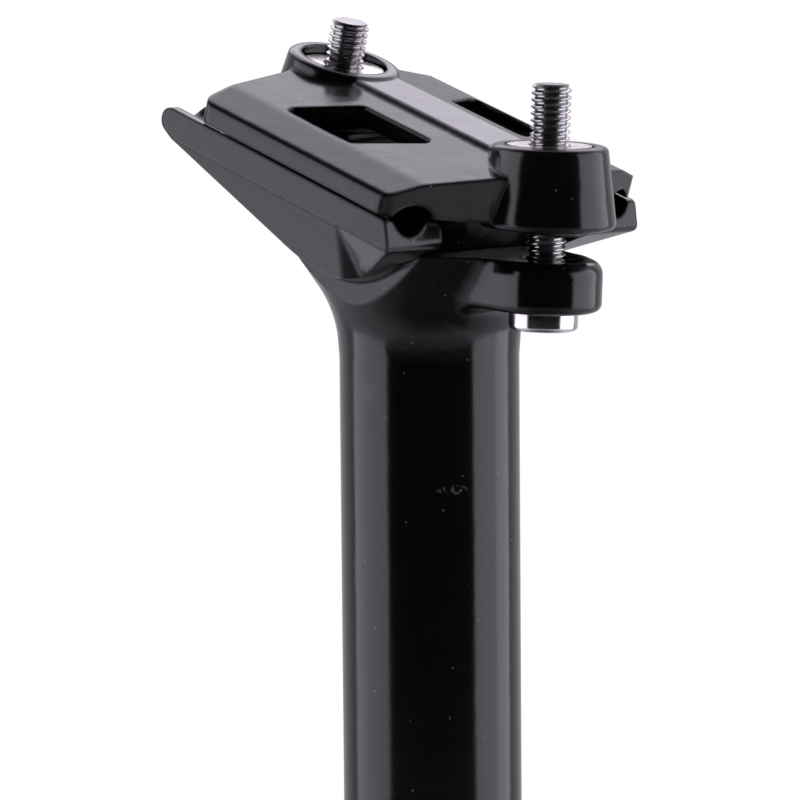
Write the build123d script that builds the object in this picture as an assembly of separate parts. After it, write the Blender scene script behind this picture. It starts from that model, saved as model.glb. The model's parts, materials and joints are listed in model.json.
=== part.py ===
from build123d import *
import math
import os

# All sizes are in millimetres. Z runs up the post and X points forward.

# Tube
POST_DIAMETER = 27.2
POST_WALL = 2.2
TILT_AXIS_HEIGHT = 350.0
BORE_END_DROP = 44.0
BORE_DOME = 6.0

# Neck and head, with heights measured down from the tilt axis
NECK_START_DROP = 28.5
NECK_SHOULDER_DROP = 17.7
NECK_SHOULDER_RADIUS = 16.7
NECK_FLARE_ANGLE = 34.0
HEAD_TOP_DROP = 1.0
HEAD_WIDTH = 31.0
HEAD_REAR = -19.5

# Seat between head and lower cradle
SEAT_RADIUS = 16.3
SEAT_CLEARANCE = 0.05
CLAMP_PITCH = 18.44
SKIRT_CLEARANCE = 0.3

# Bolt axes, placed by the middle of each nut face, above the tilt axis
FRONT_NUT_X = 24.8
FRONT_NUT_RISE = 4.0
FRONT_BOLT_LEAN = 3.2
FRONT_BOLT_PROUD = 8.9
REAR_NUT_X = -17.8
REAR_NUT_RISE = 14.9
REAR_BOLT_LEAN = 14.2
REAR_BOLT_PROUD = 6.85

# Bolts
BOLT_LENGTH = 30.0
BOLT_RADIUS = 2.95
BOLT_HEAD_RADIUS = 5.1
BOLT_HEAD_HEIGHT = 6.0
BOLT_EDGE = 0.6
SOCKET_ACROSS_FLATS = 5.0
SOCKET_DEPTH = 3.2
HEAD_RECESS = 3.1

# Nuts and domed washers
DOME_RADIUS = 8.0
NUT_RADIUS = 6.2
NUT_RIM = 2.4
NUT_BORE_RADIUS = 3.15
NUT_POCKET_CLEARANCE = 0.55
WASHER_RADIUS = 5.2
WASHER_RIM = 0.75
WASHER_BORE_RADIUS = 3.15
WASHER_GAP = 0.05
DOME_CLEARANCE = 0.06

# Ears
EAR_RADIUS = 8.5
EAR_HEIGHT = 7.6
EAR_TOP_ROUND = 2.2
EAR_LOW_ROUND = 1.2
EAR_HOLE_RADIUS = 3.7
EAR_RECESS_RADIUS = 5.7
EAR_REACH = 15.0
EAR_BLEND = 5.0
HORN_RISE = 1.5

# Clamp, measured from the tilt axis along and across the rails
RAIL_SPACING = 44.0
RAIL_GROOVE_RADIUS = 3.6
LOWER_GROOVE_CENTRE = 1.2
UPPER_GROOVE_CENTRE = -1.3
RAIL_LIP = 5.0
CLAMP_GAP = 0.4

# Lower cradle
LOWER_REAR = -30.4
LOWER_FRONT_TOP = 18.6
LOWER_FRONT_LOW = 20.5
LOWER_FRONT_EDGE = 4.0
LOWER_STRIP = 3.05
SKIRT_LEAN_START = 4.4
LOWER_REAR_ROUND = 1.8
LOWER_FRONT_ROUND = 1.2
STRIP_ROUND = 0.4
STRIP_ROUND_FROM = 8.0
SKIRT_STEP = 0.6
SKIRT_LEAN = 0.79
FACET_START = 9.7
FACET_RISE = 0.2
FACET_LEAN = 1.05
FACET_CREASE_X = 1.1
FACET_CREASE_Y = 0.69
BELLY_HALF_LENGTH = 14.3
BELLY_SIDE_CLEARANCE = 0.05
BELLY_POCKET_HALF_LENGTH = 10.0
BELLY_POCKET_HALF_WIDTH = 13.0
BELLY_POCKET_DEPTH = 7.5
BELLY_POCKET_ROUND = 3.0

# Upper clamp
UPPER_REAR = -22.9
UPPER_EDGE_TOP = 3.4
ROOF_CREASE_INSET = 5.5
ROOF_OUTER_TOP = 5.5
SPINE_FOOT_Y = 5.4
SPINE_FOOT_TOP = 8.2
SPINE_HALF_WIDTH = 4.4
SPINE_TOP = 9.0
EDGE_ROUND = 1.3
CREASE_ROUND = 6.0
SPINE_ROUND = 0.7
ROOF_THICKNESS = 2.8
HOLLOW_INSET = 9.7
HOLLOW_DROP = 1.0
HOLLOW_EDGE_RISE = 0.5
HOLLOW_REAR = -13.0
HOLLOW_FRONT = 13.5
FRONT_WEB_ROOT = 12.0
REAR_WEB_ROOT = -15.0
WEB_INNER_Y = 8.0
WEB_TIP_INSET = 0.1
FRONT_EDGE_X = 24.155
FRONT_EDGE_SLANT = 0.345
WEB_ROOT_HALF_WIDTH = 14.0
CORNER_ROUND = 2.2
WEB_ROUND = 4.0
FRONT_BOSS_TOP_RADIUS = 8.6
FRONT_BOSS_BOTTOM_RADIUS = 10.3
FRONT_BOSS_DEPTH = 12.0
REAR_BOSS_TOP_RADIUS = 8.3
REAR_BOSS_BOTTOM_RADIUS = 10.2
REAR_BOSS_TOP = 9.4
REAR_BOSS_RISE = 3.0
REAR_BOSS_DEPTH = 8.5
BOSS_EDGE_ROUND = 0.9
BOLT_HOLE_RADIUS = 4.3

# Windows in the roof
WINDOW_OUTER_INSET = 6.4
WINDOW_INNER_Y = 9.3
WINDOW_OUTER_REAR = -12.5
WINDOW_OUTER_FRONT = 2.7
WINDOW_INNER_REAR = -6.9
WINDOW_INNER_FRONT = 9.4
WINDOW_ROUND = 1.3
WINDOW_FLOOR = 3.6

POST_RADIUS = POST_DIAMETER / 2
SEAT_TROUGH_RADIUS = SEAT_RADIUS + SEAT_CLEARANCE
SKIRT_INNER_Y = HEAD_WIDTH / 2 + SKIRT_CLEARANCE
SKIRT_RADIUS = SEAT_RADIUS - SKIRT_STEP
CLAMP_HALF_WIDTH = RAIL_SPACING / 2 + RAIL_LIP
ROOF_OUTER_Y = CLAMP_HALF_WIDTH - ROOF_CREASE_INSET
HOLLOW_HALF_WIDTH = CLAMP_HALF_WIDTH - HOLLOW_INSET
WINDOW_OUTER_Y = CLAMP_HALF_WIDTH - WINDOW_OUTER_INSET
CLAMP_PLACE = Pos(0, 0, TILT_AXIS_HEIGHT) * Rot(0, CLAMP_PITCH, 0)
NECK_START = TILT_AXIS_HEIGHT - NECK_START_DROP
NECK_SHOULDER_HEIGHT = TILT_AXIS_HEIGHT - NECK_SHOULDER_DROP
HEAD_TOP = TILT_AXIS_HEIGHT - HEAD_TOP_DROP
BORE_END = TILT_AXIS_HEIGHT - BORE_END_DROP
FRONT_NUT_PLACE = Pos(FRONT_NUT_X, 0, TILT_AXIS_HEIGHT + FRONT_NUT_RISE)
REAR_NUT_PLACE = Pos(REAR_NUT_X, 0, TILT_AXIS_HEIGHT + REAR_NUT_RISE)
FRONT_AXIS = FRONT_NUT_PLACE * Rot(0, FRONT_BOLT_LEAN, 0)
REAR_AXIS = REAR_NUT_PLACE * Rot(0, REAR_BOLT_LEAN, 0)
FRONT_HEAD_SEAT = FRONT_BOLT_PROUD - BOLT_LENGTH
REAR_HEAD_SEAT = REAR_BOLT_PROUD - BOLT_LENGTH
REACH = 1.4 * (CLAMP_HALF_WIDTH - LOWER_REAR)


def cylinder_between(radius, low, high):
    return Pos(0, 0, (low + high) / 2) * Cylinder(radius, high - low)


def box_between(x0, x1, y0, y1, z0, z1):
    middle = Pos((x0 + x1) / 2, (y0 + y1) / 2, (z0 + z1) / 2)
    return middle * Box(x1 - x0, y1 - y0, z1 - z0)


# Tube and head
def neck_face():
    flare = math.radians(NECK_FLARE_ANGLE)
    top_radius = NECK_SHOULDER_RADIUS + (HEAD_TOP - NECK_SHOULDER_HEIGHT) * math.tan(flare)
    start = (POST_RADIUS, NECK_START)
    shoulder = (NECK_SHOULDER_RADIUS, NECK_SHOULDER_HEIGHT)
    curve = Spline(start, shoulder, tangents=((0, 1), (math.sin(flare), math.cos(flare))))
    rest = Polyline(shoulder, (top_radius, HEAD_TOP), (0, HEAD_TOP), (0, 0), (POST_RADIUS, 0), start)
    return Plane.XZ * make_face(curve + rest)


def head_body():
    body = revolve(neck_face(), Axis.Z, 360)
    half = HEAD_WIDTH / 2
    return body & box_between(HEAD_REAR, REACH, -half, half, -POST_WALL, HEAD_TOP)


def ear(side, head_seat):
    low = head_seat - HEAD_RECESS
    high = low + EAR_HEIGHT
    tongue = box_between(-EAR_REACH, 0, -EAR_RADIUS, EAR_RADIUS, low, high)
    solid = cylinder_between(EAR_RADIUS, low, high) + tongue
    solid = fillet(solid.edges().group_by(Axis.Z)[-1], EAR_TOP_ROUND)
    solid = fillet(solid.edges().group_by(Axis.Z)[0], EAR_LOW_ROUND)
    return solid if side > 0 else Rot(0, 0, 180) * solid


def dome(radius, centre):
    return Pos(0, 0, centre) * Sphere(radius)


def washer_dome_centre(head_seat):
    return head_seat + WASHER_GAP + WASHER_RIM - dome_rise(WASHER_RADIUS, DOME_RADIUS)


def dome_rise(radius, dome_radius):
    return math.sqrt(dome_radius ** 2 - radius ** 2)


def domed_hollow(wide, narrow, centre, low, high):
    reach = DOME_RADIUS + DOME_CLEARANCE
    edge = (wide, centre + dome_rise(wide, reach))
    middle_radius = (wide + narrow) / 2
    middle = (middle_radius, centre + dome_rise(middle_radius, reach))
    inner = (narrow, centre + dome_rise(narrow, reach))
    outline = Polyline(inner, (narrow, high), (0, high), (0, low), (wide, low), edge)
    outline += ThreePointArc(edge, middle, inner)
    return revolve(Plane.XZ * make_face(outline), Axis.Z, 360)


def ear_hollow(head_seat):
    low = head_seat - HEAD_RECESS - EAR_HEIGHT
    high = head_seat - HEAD_RECESS + 3 * EAR_HEIGHT
    centre = washer_dome_centre(head_seat)
    return domed_hollow(EAR_RECESS_RADIUS, EAR_HOLE_RADIUS, centre, low, high)


def tube_bore():
    radius = POST_RADIUS - POST_WALL
    bore = cylinder_between(radius, -POST_WALL, BORE_END)
    end = Pos(0, 0, BORE_END + BORE_DOME / 2) * Cone(radius, radius / 3, BORE_DOME)
    return bore + end


def post():
    neck = head_body()
    front_ear = FRONT_AXIS * ear(1, FRONT_HEAD_SEAT)
    body = neck + front_ear
    body = fillet(new_edges(neck, front_ear, combined=body), EAR_BLEND)
    body += REAR_AXIS * ear(-1, REAR_HEAD_SEAT)
    body -= Pos(0, 0, TILT_AXIS_HEIGHT) * Rot(90, 0, 0) * Cylinder(SEAT_TROUGH_RADIUS, REACH)
    front_top = FRONT_HEAD_SEAT - HEAD_RECESS + EAR_HEIGHT
    body -= FRONT_AXIS * box_between(-REACH / 4, REACH, -REACH, REACH, front_top, REACH)
    rear_top = REAR_HEAD_SEAT - HEAD_RECESS + EAR_HEIGHT
    body -= REAR_AXIS * box_between(-REACH, REACH / 4, -REACH, REACH, rear_top + HORN_RISE, REACH)
    body -= FRONT_AXIS * ear_hollow(FRONT_HEAD_SEAT)
    body -= REAR_AXIS * ear_hollow(REAR_HEAD_SEAT)
    body -= tube_bore()
    return body


# Lower cradle, drawn with the rails along X and the tilt axis at the origin
def tangent_point(x, z, turn):
    reach = math.hypot(x, z)
    half = math.acos(SKIRT_RADIUS / reach)
    angle = math.atan2(z, x) + turn * half
    return (SKIRT_RADIUS * math.cos(angle), SKIRT_RADIUS * math.sin(angle))


def skirt_profile():
    rear_top = (LOWER_REAR, 0)
    rear_low = (LOWER_REAR, -LOWER_STRIP)
    front_low = (LOWER_FRONT_LOW, -LOWER_FRONT_EDGE)
    front_top = (LOWER_FRONT_TOP, 0)
    rear_touch = tangent_point(*rear_low, 1)
    front_touch = tangent_point(*front_low, -1)
    outline = Polyline(front_low, front_top, rear_top, rear_low, rear_touch)
    outline += ThreePointArc(rear_touch, (0, -SKIRT_RADIUS), front_touch)
    outline += Line(front_touch, front_low)
    face = make_face(outline)
    face = fillet(face.vertices().group_by(Axis.X)[0], LOWER_REAR_ROUND)
    front_corners = face.vertices().filter_by(lambda v: v.X > LOWER_FRONT_TOP - 0.01)
    return fillet(front_corners, LOWER_FRONT_ROUND)


def half_space(point, direction):
    place = Plane(origin=point, z_dir=direction)
    return place * Pos(0, 0, REACH) * Box(4 * REACH, 4 * REACH, 2 * REACH)


def skirt():
    face = Plane.XZ.offset(-SKIRT_INNER_Y) * skirt_profile()
    side = extrude(face, -(CLAMP_HALF_WIDTH - SKIRT_INNER_Y))
    strip_edge = (0, CLAMP_HALF_WIDTH, -SKIRT_LEAN_START)
    side -= half_space(strip_edge, (0, 1, -SKIRT_LEAN))
    facet_edge = (FACET_START, CLAMP_HALF_WIDTH, FACET_RISE - SKIRT_LEAN_START)
    facet = half_space(facet_edge, (0, 1, -FACET_LEAN))
    facet = facet & half_space(facet_edge, (FACET_CREASE_X, FACET_CREASE_Y, -1))
    side -= facet
    edges = side.edges().filter_by(lambda e: e.length > STRIP_ROUND_FROM)
    strip = edges.filter_by(lambda e: abs(e.center().Y - CLAMP_HALF_WIDTH) < 0.01 and e.center().Z < -1)
    return fillet(strip, STRIP_ROUND)


def belly():
    half = BELLY_HALF_LENGTH
    inner = SKIRT_INNER_Y - BELLY_SIDE_CLEARANCE
    outer = SKIRT_INNER_Y + SKIRT_CLEARANCE
    narrow = box_between(-half, half, -inner, inner, -SEAT_RADIUS, 0)
    narrow = narrow & Rot(90, 0, 0) * Cylinder(SEAT_RADIUS, REACH)
    wide = box_between(-half, half, -outer, outer, -SEAT_RADIUS, 0)
    wide = wide & Rot(90, 0, 0) * Cylinder(SKIRT_RADIUS, REACH)
    pocket_x = BELLY_POCKET_HALF_LENGTH
    pocket_y = BELLY_POCKET_HALF_WIDTH
    pocket = box_between(-pocket_x, pocket_x, -pocket_y, pocket_y, -BELLY_POCKET_DEPTH, CLAMP_GAP)
    pocket = fillet(pocket.edges().filter_by(Axis.Z), BELLY_POCKET_ROUND)
    return narrow + wide - pocket


def rail_grooves(height):
    groove = Pos(0, RAIL_SPACING / 2, height) * Rot(0, 90, 0) * Cylinder(RAIL_GROOVE_RADIUS, 2 * REACH)
    return groove + mirror(groove, Plane.XZ)


def lower_cradle():
    side = skirt()
    body = belly() + side + mirror(side, Plane.XZ)
    body -= rail_grooves(LOWER_GROOVE_CENTRE)
    return CLAMP_PLACE * body


# Upper clamp
def roof_section():
    right = [
        (CLAMP_HALF_WIDTH, CLAMP_GAP),
        (CLAMP_HALF_WIDTH, UPPER_EDGE_TOP),
        (ROOF_OUTER_Y, ROOF_OUTER_TOP),
        (SPINE_FOOT_Y, SPINE_FOOT_TOP),
        (SPINE_HALF_WIDTH, SPINE_TOP),
    ]
    left = [(-y, z) for y, z in reversed(right)]
    face = make_face(Polyline(*right, *left, close=True))
    edges = face.vertices().filter_by(lambda v: abs(v.Y - UPPER_EDGE_TOP) < 0.01)
    face = fillet(edges, EDGE_ROUND)
    creases = face.vertices().filter_by(lambda v: abs(v.Y - ROOF_OUTER_TOP) < 0.01)
    face = fillet(creases, CREASE_ROUND)
    spine = face.vertices().filter_by(lambda v: abs(v.Y - SPINE_TOP) < 0.01)
    face = fillet(spine, SPINE_ROUND)
    return Plane.YZ * face


def roof_hollow():
    drop = ROOF_THICKNESS
    right = [
        (HOLLOW_HALF_WIDTH, -HOLLOW_DROP),
        (HOLLOW_HALF_WIDTH, ROOF_OUTER_TOP - drop + HOLLOW_EDGE_RISE),
        (SPINE_FOOT_Y, SPINE_FOOT_TOP - drop),
        (SPINE_HALF_WIDTH, SPINE_TOP - drop),
    ]
    left = [(-y, z) for y, z in reversed(right)]
    face = Plane.YZ.offset(HOLLOW_REAR) * make_face(Polyline(*right, *left, close=True))
    return extrude(face, HOLLOW_FRONT - HOLLOW_REAR)


def clamp_frame_x(axis_x, rise):
    pitch = math.radians(CLAMP_PITCH)
    return axis_x * math.cos(pitch) - rise * math.sin(pitch)


def web_plan(boss_x, boss_radius, root_x):
    tip = Pos(boss_x, 0) * CenterArc((0, 0), boss_radius, 0, 360)
    root = Line((root_x, -WEB_ROOT_HALF_WIDTH), (root_x, WEB_ROOT_HALF_WIDTH))
    return make_hull(tip.edges() + root.edges())


def front_edge_x(y):
    return FRONT_EDGE_X - FRONT_EDGE_SLANT * (abs(y) - WEB_INNER_Y)


def wing_plan():
    half = CLAMP_HALF_WIDTH
    inner = WEB_INNER_Y
    right = [(UPPER_REAR, half), (front_edge_x(half), half), (front_edge_x(inner), inner)]
    left = [(x, -y) for x, y in reversed(right)]
    face = make_face(Polyline(*right, *left, close=True))
    corners = face.vertices().filter_by(lambda v: abs(abs(v.Y) - half) < 0.01)
    return fillet(corners, CORNER_ROUND)


def plan_shape():
    front_x = clamp_frame_x(FRONT_NUT_X, FRONT_NUT_RISE)
    rear_x = clamp_frame_x(REAR_NUT_X, REAR_NUT_RISE)
    plan = wing_plan() + web_plan(front_x, FRONT_BOSS_TOP_RADIUS - WEB_TIP_INSET, FRONT_WEB_ROOT)
    plan += web_plan(rear_x, REAR_BOSS_TOP_RADIUS, REAR_WEB_ROOT)
    near = plan.vertices().filter_by(lambda v: WEB_INNER_Y < abs(v.Y) < WEB_ROOT_HALF_WIDTH)
    front = near.filter_by(lambda v: abs(v.X - front_edge_x(v.Y)) < 0.01)
    plan = fillet(front, WEB_ROUND)
    near = plan.vertices().filter_by(lambda v: abs(v.Y) < WEB_ROOT_HALF_WIDTH)
    rear = near.filter_by(lambda v: abs(v.X - UPPER_REAR) < 0.01)
    return fillet(rear, WEB_ROUND)


def roof():
    long_roof = Pos(-REACH / 2, 0, 0) * extrude(roof_section(), REACH)
    plan = extrude(plan_shape(), 2 * SPINE_TOP)
    return long_roof & plan


def window():
    corners = [
        (WINDOW_OUTER_REAR, WINDOW_OUTER_Y),
        (WINDOW_INNER_REAR, WINDOW_INNER_Y),
        (WINDOW_INNER_FRONT, WINDOW_INNER_Y),
        (WINDOW_OUTER_FRONT, WINDOW_OUTER_Y),
    ]
    face = fillet(make_face(Polyline(*corners, close=True)).vertices(), WINDOW_ROUND)
    return Pos(0, 0, WINDOW_FLOOR) * extrude(face, REACH, dir=(0, 0, 1))


def front_boss():
    cone = Cone(FRONT_BOSS_BOTTOM_RADIUS, FRONT_BOSS_TOP_RADIUS, FRONT_BOSS_DEPTH)
    cone = fillet(cone.edges().group_by(Axis.Z)[0], BOSS_EDGE_ROUND)
    cone = fillet(cone.edges().group_by(Axis.Z)[-1], BOSS_EDGE_ROUND)
    return Pos(0, 0, -FRONT_BOSS_DEPTH / 2) * cone


def rear_boss():
    height = REAR_BOSS_DEPTH + REAR_BOSS_RISE
    cone = Cone(REAR_BOSS_BOTTOM_RADIUS, REAR_BOSS_TOP_RADIUS, height)
    cone = REAR_AXIS * Pos(0, 0, REAR_BOSS_RISE - height / 2) * cone
    cap = CLAMP_PLACE * box_between(-REACH, REACH, -REACH, REACH, REAR_BOSS_TOP, REACH)
    boss = cone - cap
    top = boss.faces().sort_by(Axis.Z)[-1]
    return fillet(top.edges(), BOSS_EDGE_ROUND)


def nut_dome_centre():
    return dome_rise(NUT_RADIUS, DOME_RADIUS) - NUT_RIM


def nut_pocket():
    radius = NUT_RADIUS + NUT_POCKET_CLEARANCE
    pocket = domed_hollow(radius, BOLT_HOLE_RADIUS, -nut_dome_centre(), -REACH / 4, REACH / 3)
    return Rot(180, 0, 0) * pocket


def upper_clamp():
    body = CLAMP_PLACE * roof()
    body += FRONT_AXIS * front_boss()
    body += rear_boss()
    opening = roof_hollow() + rail_grooves(UPPER_GROOVE_CENTRE)
    opening += window() + mirror(window(), Plane.XZ)
    body -= CLAMP_PLACE * opening
    body -= FRONT_AXIS * nut_pocket()
    body -= REAR_AXIS * nut_pocket()
    return body


# Bolts, nuts and washers, drawn about their own axis with the nut face at zero
def bolt(head_seat):
    shank = cylinder_between(BOLT_RADIUS, head_seat, head_seat + BOLT_LENGTH)
    shank = chamfer(shank.edges().sort_by(Axis.Z)[-1], BOLT_EDGE)
    head = cylinder_between(BOLT_HEAD_RADIUS, head_seat - BOLT_HEAD_HEIGHT, head_seat)
    head = fillet(head.edges().sort_by(Axis.Z)[0], BOLT_EDGE)
    low = head_seat - BOLT_HEAD_HEIGHT
    hexagon = RegularPolygon(SOCKET_ACROSS_FLATS / 2, 6, major_radius=False)
    socket = Pos(0, 0, low - BOLT_EDGE) * extrude(hexagon, SOCKET_DEPTH + BOLT_EDGE)
    return shank + head - socket


def nut():
    disc = cylinder_between(NUT_RADIUS, -2 * DOME_RADIUS, 0)
    body = disc & dome(DOME_RADIUS, nut_dome_centre())
    return body - cylinder_between(NUT_BORE_RADIUS, -REACH, REACH)


def washer(head_seat):
    disc = cylinder_between(WASHER_RADIUS, head_seat + WASHER_GAP, head_seat + 2 * DOME_RADIUS)
    body = disc & dome(DOME_RADIUS, washer_dome_centre(head_seat))
    return body - cylinder_between(WASHER_BORE_RADIUS, -REACH, REACH)


PIECES = {
    "post": post(),
    "lower_cradle": lower_cradle(),
    "upper_clamp": upper_clamp(),
    "front_bolt": FRONT_AXIS * bolt(FRONT_HEAD_SEAT),
    "rear_bolt": REAR_AXIS * bolt(REAR_HEAD_SEAT),
    "front_nut": FRONT_AXIS * nut(),
    "rear_nut": REAR_AXIS * nut(),
    "front_washer": FRONT_AXIS * washer(FRONT_HEAD_SEAT),
    "rear_washer": REAR_AXIS * washer(REAR_HEAD_SEAT),
}

os.makedirs("parts", exist_ok=True)
for name, piece in PIECES.items():
    export_step(piece, "parts/" + name + ".step")
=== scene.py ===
import json
import math

import bpy
from bpy.props import FloatProperty, FloatVectorProperty, IntProperty, PointerProperty
from mathutils import Matrix, Vector


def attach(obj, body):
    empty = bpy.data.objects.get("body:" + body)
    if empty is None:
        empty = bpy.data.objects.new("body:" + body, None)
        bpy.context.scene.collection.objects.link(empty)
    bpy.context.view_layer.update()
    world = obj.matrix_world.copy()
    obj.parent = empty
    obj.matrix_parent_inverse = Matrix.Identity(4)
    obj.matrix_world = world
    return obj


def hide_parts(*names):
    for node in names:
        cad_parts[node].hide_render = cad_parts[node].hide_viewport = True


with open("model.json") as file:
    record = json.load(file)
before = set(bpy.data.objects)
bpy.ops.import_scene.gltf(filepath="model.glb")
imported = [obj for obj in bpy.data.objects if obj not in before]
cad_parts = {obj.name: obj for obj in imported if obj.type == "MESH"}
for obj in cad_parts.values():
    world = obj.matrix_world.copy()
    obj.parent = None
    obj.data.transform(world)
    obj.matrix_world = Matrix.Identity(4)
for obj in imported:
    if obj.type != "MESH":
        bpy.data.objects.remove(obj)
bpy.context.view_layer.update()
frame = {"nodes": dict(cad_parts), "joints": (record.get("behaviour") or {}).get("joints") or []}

bl_info = {
    "name": "Two-bolt seatpost dressing",
    "version": (1, 0, 0),
    "blender": (4, 5, 0),
    "location": "3D View > Sidebar > Seatpost",
    "description": "Dresses the packed seatpost with threads, paint and plating",
    "category": "Object",
}

JOINTS = {joint["name"]: joint for joint in frame["joints"]}
MM = 0.001

# Bolts: how far each tip stands past its turning centre, and the head with its hex socket
BOLT_LENGTH = 30 * MM
FRONT_PROUD = 8.9 * MM
REAR_PROUD = 6.85 * MM
TIP_CHAMFER = 0.75 * MM
HEAD_RADIUS = 5.1 * MM
HEAD_HEIGHT = 6 * MM
HEAD_ROUND = 0.7 * MM
HEAD_TOP_EDGE = 0.15 * MM
HEX_FLATS = 5.0 * MM
HEX_DEPTH = 3.2 * MM
FLANK_SHARE = 0.34
MERGE_DISTANCE = 0.004 * MM
SMOOTH_ANGLE = math.radians(32)

# Studio: FACING points from the post to the camera, along the floor
FACING = (0.702, -0.712, 0.0)
LAMP_TARGET = Vector((0, 0, 0.34))
LAMP_COLOUR = (0.92, 0.87, 1.0)
FLOOR_RADIUS = 1.0
FLOOR_DROP = 0.2 * MM
CAMERA_TURN, CAMERA_TILT, CAMERA_ROLL = 0.77846, 0.11718, -0.0088048
CAMERA_CENTRE = Vector((0, 0, 0.31465))
CAMERA_DISTANCE = 0.604973
CAMERA_SHIFT = 0.0044874


# Sizes and colours a user may change
class PaintSettings(bpy.types.PropertyGroup):
    colour: FloatVectorProperty(
        name="Paint colour", description="Colour of the black enamel",
        default=(0.0048, 0.0040, 0.0034), size=3, subtype="COLOR", min=0, max=1)
    roughness: FloatProperty(
        name="Gloss coat roughness", description="How soft the reflections in the enamel are",
        default=0.12, min=0, max=1, subtype="FACTOR")
    dust: FloatProperty(
        name="Dust", description="How strongly the dust specks show",
        default=0.8, min=0, max=1, subtype="FACTOR")
    edge_round: FloatProperty(
        name="Edge softness", description="How far the paint rounds the forged edges",
        default=0.9 * MM, unit="LENGTH")


class MetalSettings(bpy.types.PropertyGroup):
    bolt_colour: FloatVectorProperty(
        name="Bolt colour", description="Colour of the steel bolts",
        default=(0.50, 0.49, 0.49), size=3, subtype="COLOR", min=0, max=1)
    nut_colour: FloatVectorProperty(
        name="Nut colour", description="Colour of the plated nuts",
        default=(0.97, 0.94, 0.90), size=3, subtype="COLOR", min=0, max=1)


class BoltSettings(bpy.types.PropertyGroup):
    pitch: FloatProperty(
        name="Thread pitch", description="Rise of one turn of the bolt thread",
        default=1.0 * MM, unit="LENGTH")
    crest: FloatProperty(
        name="Crest radius", description="Radius over the thread crests",
        default=2.94 * MM, unit="LENGTH")
    root: FloatProperty(
        name="Root radius", description="Radius at the bottom of the thread",
        default=2.42 * MM, unit="LENGTH")
    steps: IntProperty(
        name="Steps in a turn", description="Faces round one turn of the thread", default=36, min=8)


# Node helpers: owner is a material or a world
def new_material(name):
    material = bpy.data.materials.new(name)
    material.use_nodes = True
    return material


def shader_of(material):
    return material.node_tree.nodes["Principled BSDF"]


def add_node(owner, kind, **values):
    node = owner.node_tree.nodes.new(kind)
    for key, value in values.items():
        if key in node.inputs:
            node.inputs[key].default_value = value
        else:
            setattr(node, key, value)
    return node


def join_sockets(owner, start, end):
    owner.node_tree.links.new(start, end)


def object_coordinates(owner):
    return add_node(owner, "ShaderNodeTexCoord").outputs["Object"]


def noise_of(owner, scale, detail=3.0, roughness=0.5):
    noise = add_node(owner, "ShaderNodeTexNoise", Scale=scale, Detail=detail, Roughness=roughness)
    join_sockets(owner, object_coordinates(owner), noise.inputs["Vector"])
    return noise.outputs["Fac"]


def mapped(owner, value, low, high, out_low, out_high, interpolation="LINEAR"):
    node = add_node(owner, "ShaderNodeMapRange", interpolation_type=interpolation)
    node.inputs["From Min"].default_value = low
    node.inputs["From Max"].default_value = high
    node.inputs["To Min"].default_value = out_low
    node.inputs["To Max"].default_value = out_high
    join_sockets(owner, value, node.inputs["Value"])
    return node.outputs["Result"]


def arithmetic(owner, operation, first, second):
    node = add_node(owner, "ShaderNodeMath", operation=operation)
    for socket, value in zip(node.inputs, (first, second)):
        if isinstance(value, (int, float)):
            socket.default_value = value
        else:
            join_sockets(owner, value, socket)
    return node.outputs["Value"]


def vector_measure(owner, operation, vector, point=None):
    node = add_node(owner, "ShaderNodeVectorMath", operation=operation)
    join_sockets(owner, vector, node.inputs[0])
    if point is not None:
        node.inputs[1].default_value = point
    return node.outputs["Value"]


def bump_node(owner, height, strength, distance):
    bump = add_node(owner, "ShaderNodeBump", Strength=strength, Distance=distance)
    join_sockets(owner, height, bump.inputs["Height"])
    return bump


def softened_bump(owner, height, strength, distance, radius):
    bump = bump_node(owner, height, strength, distance)
    edges = add_node(owner, "ShaderNodeBevel", samples=6, Radius=radius)
    join_sockets(owner, edges.outputs["Normal"], bump.inputs["Normal"])
    return bump.outputs["Normal"]


def colour_mix(owner, factor, first, second):
    """Mixes two colours, each a socket or three numbers"""
    mix = add_node(owner, "ShaderNodeMix", data_type="RGBA")
    join_sockets(owner, factor, mix.inputs["Factor"])
    colours = [socket for socket in mix.inputs if socket.type == "RGBA"]
    for socket, colour in zip(colours, (first, second)):
        if isinstance(colour, tuple):
            socket.default_value = (*colour, 1)
        else:
            join_sockets(owner, colour, socket)
    return [socket for socket in mix.outputs if socket.type == "RGBA"][0]


def mix_shaders(owner, factor, first, second):
    mix = add_node(owner, "ShaderNodeMixShader")
    join_sockets(owner, factor, mix.inputs["Fac"])
    join_sockets(owner, first, mix.inputs[1])
    join_sockets(owner, second, mix.inputs[2])
    return mix.outputs["Shader"]


# Materials
MARK_COLOUR = (0.30, 0.29, 0.30)


def dust_specks(material):
    cells = add_node(material, "ShaderNodeTexVoronoi", feature="F1", Scale=480.0)
    join_sockets(material, object_coordinates(material), cells.inputs["Vector"])
    near = mapped(material, cells.outputs["Distance"], 0.05, 0.08, 1.0, 0.0)
    rare = mapped(material, noise_of(material, 160.0, 1.0), 0.50, 0.57, 0.0, 1.0)
    return arithmetic(material, "MULTIPLY", near, rare)


def spot(material, place, size, softness):
    """An oval mask, one inside and nothing outside"""
    mapping = add_node(material, "ShaderNodeMapping", vector_type="TEXTURE")
    mapping.inputs["Location"].default_value = place
    mapping.inputs["Scale"].default_value = size
    join_sockets(material, object_coordinates(material), mapping.inputs["Vector"])
    length = vector_measure(material, "LENGTH", mapping.outputs["Vector"])
    return mapped(material, length, 1.0 - softness, 1.0, 1.0, 0.0)


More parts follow.
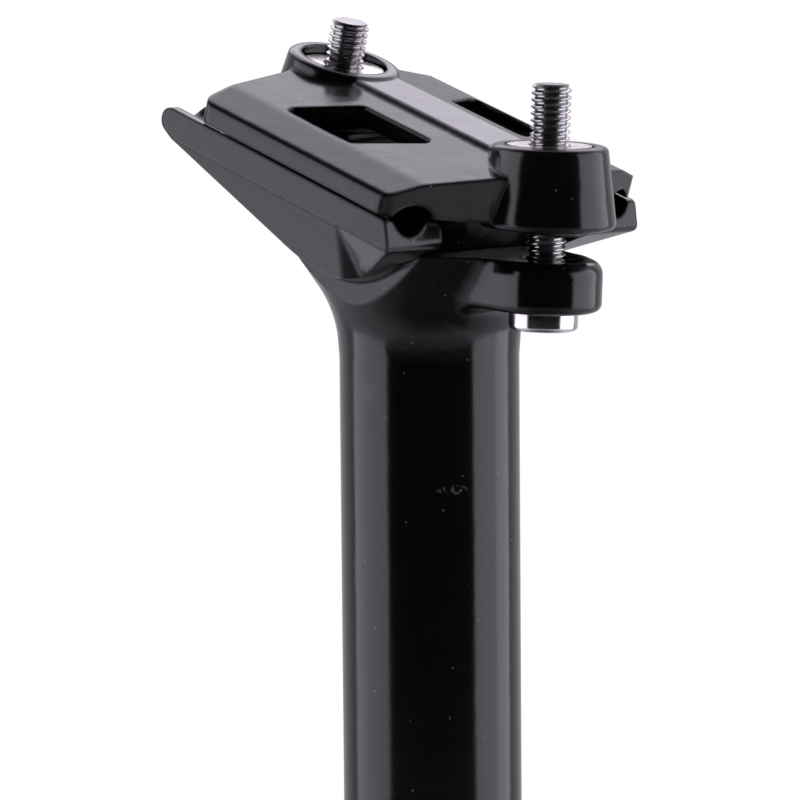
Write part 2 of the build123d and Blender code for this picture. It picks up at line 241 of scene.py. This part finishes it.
def scuff_marks(material):
    streak = spot(material, (0.0116, -0.0071, 0.3027), (0.0028, 0.0028, 0.0008), 0.7)
    broken = mapped(material, noise_of(material, 1500.0, 3.0), 0.50, 0.62, 0.0, 0.9)
    streak = arithmetic(material, "MULTIPLY", streak, broken)
    smudge = spot(material, (0.0004, -0.0136, 0.3170), (0.0020, 0.0020, 0.0024), 1.0)
    smudge = arithmetic(material, "MULTIPLY", smudge, 0.10)
    return arithmetic(material, "MAXIMUM", streak, smudge)


def black_enamel(name, waviness):
    settings = bpy.context.scene.seatpost_paint
    material = new_material(name)
    shader = shader_of(material)
    tone = mapped(material, noise_of(material, 35.0), 0.3, 0.7, 0.0, 1.0)
    deep = tuple(settings.colour)
    worn = tuple(min(1.0, part * 1.8) for part in deep)
    colour = colour_mix(material, tone, deep, worn)
    specks = arithmetic(material, "MULTIPLY", dust_specks(material), settings.dust)
    marks = arithmetic(material, "MAXIMUM", specks, scuff_marks(material))
    colour = colour_mix(material, marks, colour, MARK_COLOUR)
    join_sockets(material, colour, shader.inputs["Base Color"])
    shader.inputs["Roughness"].default_value = 0.3
    shader.inputs["Specular IOR Level"].default_value = 0.0
    shader.inputs["Coat Weight"].default_value = 1.0
    shader.inputs["Coat IOR"].default_value = 1.5
    smear = mapped(material, noise_of(material, 22.0, 4.0), 0.35, 0.75, 0.0, 0.06)
    rough = arithmetic(material, "ADD", smear, settings.roughness)
    join_sockets(material, rough, shader.inputs["Coat Roughness"])
    fine = arithmetic(material, "MULTIPLY", noise_of(material, 900.0, 2.0), 0.05)
    broad = arithmetic(material, "MULTIPLY", noise_of(material, 140.0, 2.0), waviness)
    surface = arithmetic(material, "ADD", fine, broad)
    peel = softened_bump(material, surface, 1.0, 0.2 * MM, settings.edge_round)
    join_sockets(material, peel, shader.inputs["Normal"])
    join_sockets(material, peel, shader.inputs["Coat Normal"])
    return material


def machined_metal(name, colour, roughness, grain_scale, grain_strength):
    material = new_material(name)
    shader = shader_of(material)
    tone = mapped(material, noise_of(material, 250.0, 4.0), 0.3, 0.7, 0.0, 1.0)
    darker = tuple(part * 0.78 for part in colour)
    join_sockets(material, colour_mix(material, tone, darker, colour), shader.inputs["Base Color"])
    shader.inputs["Metallic"].default_value = 1.0
    spread = noise_of(material, 600.0, 3.0)
    rough = mapped(material, spread, 0.3, 0.7, roughness * 0.8, roughness * 1.25)
    join_sockets(material, rough, shader.inputs["Roughness"])
    grain = bump_node(material, noise_of(material, grain_scale, 2.0), grain_strength, 0.1 * MM)
    join_sockets(material, grain.outputs["Normal"], shader.inputs["Normal"])
    return material


def dress(node_name, material):
    node = frame["nodes"][node_name]
    if not node.material_slots:
        node.data.materials.append(material)
    for slot in node.material_slots:
        slot.material = material


# Mesh helpers
def deselect_all():
    if bpy.context.mode != "OBJECT":
        bpy.ops.object.mode_set(mode="OBJECT")
    bpy.ops.object.select_all(action="DESELECT")


def make_active(thing):
    deselect_all()
    thing.select_set(True)
    bpy.context.view_layer.objects.active = thing


def apply_modifier(thing, modifier):
    make_active(thing)
    bpy.ops.object.modifier_apply(modifier=modifier.name)


def boolean(thing, tool, operation):
    modifier = thing.modifiers.new("cut", "BOOLEAN")
    modifier.operation = operation
    modifier.solver = "EXACT"
    modifier.object = tool
    apply_modifier(thing, modifier)
    bpy.data.objects.remove(tool)


def add_cylinder(radius, low, high, vertices=64):
    deselect_all()
    bpy.ops.mesh.primitive_cylinder_add(
        vertices=vertices, radius=radius, depth=high - low, location=(0, 0, (low + high) / 2))
    thing = bpy.context.object
    bpy.ops.object.transform_apply(location=True, rotation=True, scale=True)
    return thing


def select_faces(thing, test):
    mesh = thing.data
    for vertex in mesh.vertices:
        vertex.select = False
    for edge in mesh.edges:
        edge.select = False
    for face in mesh.polygons:
        face.select = test(face)
    bpy.ops.object.mode_set(mode="EDIT")
    bpy.ops.mesh.select_mode(type="FACE")


def bevel_end(thing, up, width, segments):
    make_active(thing)
    select_faces(thing, lambda face: face.normal.z * up > 0.9)
    bpy.ops.mesh.bevel(offset=width, segments=segments, profile=0.6, affect="EDGES")
    bpy.ops.object.mode_set(mode="OBJECT")


def thread_core(settings, low, high):
    deselect_all()
    pitch = settings.pitch
    bpy.ops.mesh.primitive_plane_add(size=MM, location=(0, 0, 0))
    thing = bpy.context.object
    bpy.ops.object.mode_set(mode="EDIT")
    bpy.ops.mesh.select_all(action="SELECT")
    bpy.ops.mesh.merge(type="CENTER")
    start = Vector((settings.root, 0, low - 2 * pitch))
    bpy.ops.transform.translate(value=start)
    slope = FLANK_SHARE * pitch
    flat = (pitch - 2 * slope) / 2
    rise = settings.crest - settings.root
    for step in ((0, flat / 2), (rise, slope), (0, flat), (-rise, slope), (0, flat / 2)):
        move = {"value": (step[0], 0, step[1])}
        bpy.ops.mesh.extrude_region_move(TRANSFORM_OT_translate=move)
    bpy.ops.object.mode_set(mode="OBJECT")
    bpy.ops.object.transform_apply(location=True, rotation=True, scale=True)
    screw = thing.modifiers.new("thread", "SCREW")
    screw.axis = "Z"
    screw.angle = math.tau
    screw.screw_offset = pitch
    screw.iterations = int((high - low) / pitch) + 4
    screw.steps = settings.steps
    screw.render_steps = settings.steps
    screw.use_merge_vertices = True
    screw.merge_threshold = MERGE_DISTANCE
    apply_modifier(thing, screw)
    bpy.ops.object.mode_set(mode="EDIT")
    bpy.ops.mesh.select_all(action="SELECT")
    bpy.ops.mesh.remove_doubles(threshold=MERGE_DISTANCE)
    bpy.ops.mesh.bisect(plane_co=(0, 0, low), plane_no=(0, 0, 1), use_fill=True, clear_inner=True)
    bpy.ops.mesh.select_all(action="SELECT")
    bpy.ops.mesh.bisect(plane_co=(0, 0, high), plane_no=(0, 0, 1), use_fill=True, clear_outer=True)
    bpy.ops.mesh.select_all(action="SELECT")
    bpy.ops.mesh.normals_make_consistent(inside=False)
    bpy.ops.object.mode_set(mode="OBJECT")
    return thing


def bolt_head(low, high):
    head = add_cylinder(HEAD_RADIUS, low, high, 96)
    bevel_end(head, -1, HEAD_ROUND, 4)
    bevel_end(head, 1, HEAD_TOP_EDGE, 2)
    hex_radius = HEX_FLATS / 2 / math.cos(math.pi / 6)
    hex_socket = add_cylinder(hex_radius, low - 1 * MM, low + HEX_DEPTH, 6)
    boolean(head, hex_socket, "DIFFERENCE")
    return head


def place_on_axis(thing, joint_name, offset):
    joint = JOINTS[joint_name]
    axis = Vector(joint["axis"]).normalized()
    make_active(thing)
    thing.rotation_euler = (0, math.atan2(axis.x, axis.z), 0)
    thing.location = Vector(joint["pos_m"]) + axis * offset
    bpy.ops.object.transform_apply(location=True, rotation=True, scale=True)


def make_bolt(material, thread_material):
    settings = bpy.context.scene.seatpost_bolts
    thread = thread_core(settings, -0.5 * MM, BOLT_LENGTH + 0.4 * MM)
    limit = add_cylinder(3.2 * MM, -0.4 * MM, BOLT_LENGTH, 96)
    bevel_end(limit, 1, TIP_CHAMFER, 1)
    boolean(thread, limit, "INTERSECT")
    head = bolt_head(-HEAD_HEIGHT, 0)
    thread.data.materials.clear()
    thread.data.materials.append(thread_material)
    head.data.materials.append(material)
    for part in (thread, head):
        make_active(part)
        bpy.ops.object.shade_smooth_by_angle(angle=SMOOTH_ANGLE)
    make_active(thread)
    head.select_set(True)
    bpy.ops.object.join()
    return thread


def copy_of(thing, name):
    make_active(thing)
    bpy.ops.object.duplicate(linked=False)
    copied = bpy.context.object
    copied.name = name
    return copied


# Operators, one for each piece or group
class SEATPOST_OT_paint(bpy.types.Operator):
    """Gives the post and both clamp halves their black enamel"""
    bl_idname = "seatpost.paint"
    bl_label = "Paint post and clamp"

    def execute(self, context):
        dress("post", black_enamel("black_enamel_post", 0.2))
        forged = black_enamel("black_enamel_forged", 0.6)
        dress("lower_cradle", forged)
        dress("upper_clamp", forged)
        return {"FINISHED"}


class SEATPOST_OT_bolts(bpy.types.Operator):
    """Builds the two threaded bolts with their socket heads"""
    bl_idname = "seatpost.bolts"
    bl_label = "Build bolts"

    def execute(self, context):
        colour = tuple(context.scene.seatpost_metal.bolt_colour)
        shiny = tuple(min(1, part * 1.5) for part in colour)
        bright = machined_metal("bolt_head_plating", shiny, 0.16, 1500.0, 0.05)
        dark = machined_metal("bolt_thread_steel", colour, 0.22, 2200.0, 0.04)
        first = make_bolt(bright, dark)
        first.name = "front_bolt_threaded"
        second = copy_of(first, "rear_bolt_threaded")
        place_on_axis(first, "front_bolt_turn", FRONT_PROUD - BOLT_LENGTH)
        place_on_axis(second, "rear_bolt_turn", REAR_PROUD - BOLT_LENGTH)
        for piece, name in ((first, "front_bolt"), (second, "rear_bolt")):
            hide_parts(name)
            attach(piece, name)
            dress(name, dark)
        return {"FINISHED"}


class SEATPOST_OT_nuts(bpy.types.Operator):
    """Gives the nuts and washers their plating"""
    bl_idname = "seatpost.nuts"
    bl_label = "Plate nuts and washers"

    def execute(self, context):
        settings = context.scene.seatpost_metal
        plating = machined_metal("nut_plating", tuple(settings.nut_colour), 0.25, 1800.0, 0.03)
        steel = machined_metal("washer_steel", tuple(settings.bolt_colour), 0.3, 1800.0, 0.05)
        dress("front_nut", plating)
        dress("rear_nut", plating)
        dress("front_washer", steel)
        dress("rear_washer", steel)
        return {"FINISHED"}


# Stage
def pale_floor_with_painted_shade():
    """Pale to the camera, with painted shade: darker in front of the post, giving the enamel a
    painted dark reflection and the camera a faint painted shadow; fading into the surround, clear
    from below
    """
    material = new_material("pale_floor")
    shader = shader_of(material)
    shader.inputs["Roughness"].default_value = 0.8
    # Painted shade: the floor colour is dark close in front of the post, so the paint reflects a
    # painted darkness there
    ahead = vector_measure(material, "DISTANCE", object_coordinates(material), Vector(FACING) * 0.25)
    tone = mapped(material, ahead, 0.15, 0.45, 0.12, 0.85)
    join_sockets(material, tone, shader.inputs["Base Color"])
    path = add_node(material, "ShaderNodeLightPath")
    glow = add_node(material, "ShaderNodeEmission", Strength=1.0)
    length = vector_measure(material, "LENGTH", object_coordinates(material))
    fade = mapped(material, length, 0.2, 0.7, 0.85, 1.0)
    seen = arithmetic(material, "MULTIPLY", path.outputs["Is Camera Ray"], fade)
    lit = mix_shaders(material, seen, shader.outputs["BSDF"], glow.outputs["Emission"])
    clear = add_node(material, "ShaderNodeBsdfTransparent")
    below = add_node(material, "ShaderNodeNewGeometry").outputs["Backfacing"]
    floor = mix_shaders(material, below, lit, clear.outputs["BSDF"])
    output = material.node_tree.nodes["Material Output"]
    join_sockets(material, floor, output.inputs["Surface"])
    return material


def make_floor():
    deselect_all()
    bpy.ops.mesh.primitive_circle_add(
        vertices=96, radius=FLOOR_RADIUS, fill_type="NGON", location=(0, 0, -FLOOR_DROP))
    floor = bpy.context.object
    floor.name = "studio_floor"
    floor.data.materials.append(pale_floor_with_painted_shade())


def make_world():
    """White to the camera; to the rest, bright behind the post and dark in front"""
    world = bpy.data.worlds.new("studio_surround")
    bpy.context.scene.world = world
    world.use_nodes = True
    direction = add_node(world, "ShaderNodeTexCoord").outputs["Generated"]
    ahead = vector_measure(world, "DOT_PRODUCT", direction, FACING)
    glow = mapped(world, ahead, 0.2, -0.9, 0.006, 0.6, "SMOOTHSTEP")
    seen = add_node(world, "ShaderNodeLightPath").outputs["Is Camera Ray"]
    back = world.node_tree.nodes["Background"]
    tint = colour_mix(world, seen, (0.95, 0.91, 1.0), (1, 1, 1))
    join_sockets(world, tint, back.inputs["Color"])
    strength = arithmetic(world, "MAXIMUM", glow, seen)
    join_sockets(world, strength, back.inputs["Strength"])


def add_softbox(name, angle, distance, height, width, tall, power):
    turn = math.radians(angle)
    facing = Vector(FACING)
    side = Vector((-facing.y, facing.x, 0))
    away = facing * math.cos(turn) + side * math.sin(turn)
    deselect_all()
    bpy.ops.object.light_add(type="AREA", location=away * distance + Vector((0, 0, height)))
    lamp = bpy.context.object
    lamp.name = name
    lamp.data.shape = "RECTANGLE"
    lamp.data.size = width
    lamp.data.size_y = tall
    lamp.data.energy = power
    lamp.data.color = LAMP_COLOUR
    aim = LAMP_TARGET - lamp.location
    lamp.rotation_euler = aim.to_track_quat("-Z", "Y").to_euler()
    lamp.visible_camera = False


def make_camera():
    turn, tilt, roll = CAMERA_TURN, CAMERA_TILT, CAMERA_ROLL
    right = Vector((math.cos(turn), math.sin(turn), 0))
    back = Vector((math.sin(turn) * math.cos(tilt), -math.cos(turn) * math.cos(tilt), math.sin(tilt)))
    up = back.cross(right)
    right_rolled = math.cos(roll) * right + math.sin(roll) * up
    up_rolled = -math.sin(roll) * right + math.cos(roll) * up
    place = CAMERA_CENTRE + back * CAMERA_DISTANCE - right_rolled * CAMERA_SHIFT
    deselect_all()
    bpy.ops.object.camera_add()
    camera = bpy.context.object
    camera.name = "photo_camera"
    matrix = Matrix((right_rolled, up_rolled, back)).transposed().to_4x4()
    matrix.translation = place
    camera.matrix_world = matrix
    camera.data.sensor_width = 36.0
    camera.data.lens = 180.0
    camera.data.clip_start = 0.01
    bpy.context.scene.camera = camera


class SEATPOST_OT_stage(bpy.types.Operator):
    """Sets the pale floor, the soft studio light and the camera"""
    bl_idname = "seatpost.stage"
    bl_label = "Set the studio"

    def execute(self, context):
        make_floor()
        make_world()
        add_softbox("left_softbox", -85, 0.9, 0.40, 1.0, 1.1, 6.3)
        add_softbox("right_softbox", 88, 0.9, 0.40, 1.1, 1.1, 7.6)
        add_softbox("top_softbox", 178, 0.75, 1.15, 1.1, 0.95, 5.8)
        make_camera()
        context.scene.view_settings.view_transform = "Standard"
        return {"FINISHED"}


class SEATPOST_PT_sidebar(bpy.types.Panel):
    """Lists the steps that dress the seatpost"""
    bl_idname = "SEATPOST_PT_sidebar"
    bl_label = "Seatpost"
    bl_space_type = "VIEW_3D"
    bl_region_type = "UI"
    bl_category = "Seatpost"

    def draw(self, context):
        scene = context.scene
        column = self.layout.column()
        for group in (scene.seatpost_paint, scene.seatpost_metal, scene.seatpost_bolts):
            for key in group.__annotations__:
                column.prop(group, key)
        for operator in STEPS:
            column.operator(operator.bl_idname)


STEPS = (SEATPOST_OT_paint, SEATPOST_OT_bolts, SEATPOST_OT_nuts, SEATPOST_OT_stage)
GROUPS = {
    "seatpost_paint": PaintSettings,
    "seatpost_metal": MetalSettings,
    "seatpost_bolts": BoltSettings,
}


def register():
    for name, group in GROUPS.items():
        bpy.utils.register_class(group)
        setattr(bpy.types.Scene, name, PointerProperty(type=group))
    for operator in STEPS:
        bpy.utils.register_class(operator)
    bpy.utils.register_class(SEATPOST_PT_sidebar)


def unregister():
    bpy.utils.unregister_class(SEATPOST_PT_sidebar)
    for operator in reversed(STEPS):
        bpy.utils.unregister_class(operator)
    for name, group in GROUPS.items():
        delattr(bpy.types.Scene, name)
        bpy.utils.unregister_class(group)


def main():
    register()
    bpy.ops.seatpost.paint()
    bpy.ops.seatpost.bolts()
    bpy.ops.seatpost.nuts()
    bpy.ops.seatpost.stage()


if __name__ == "__main__":
    main()
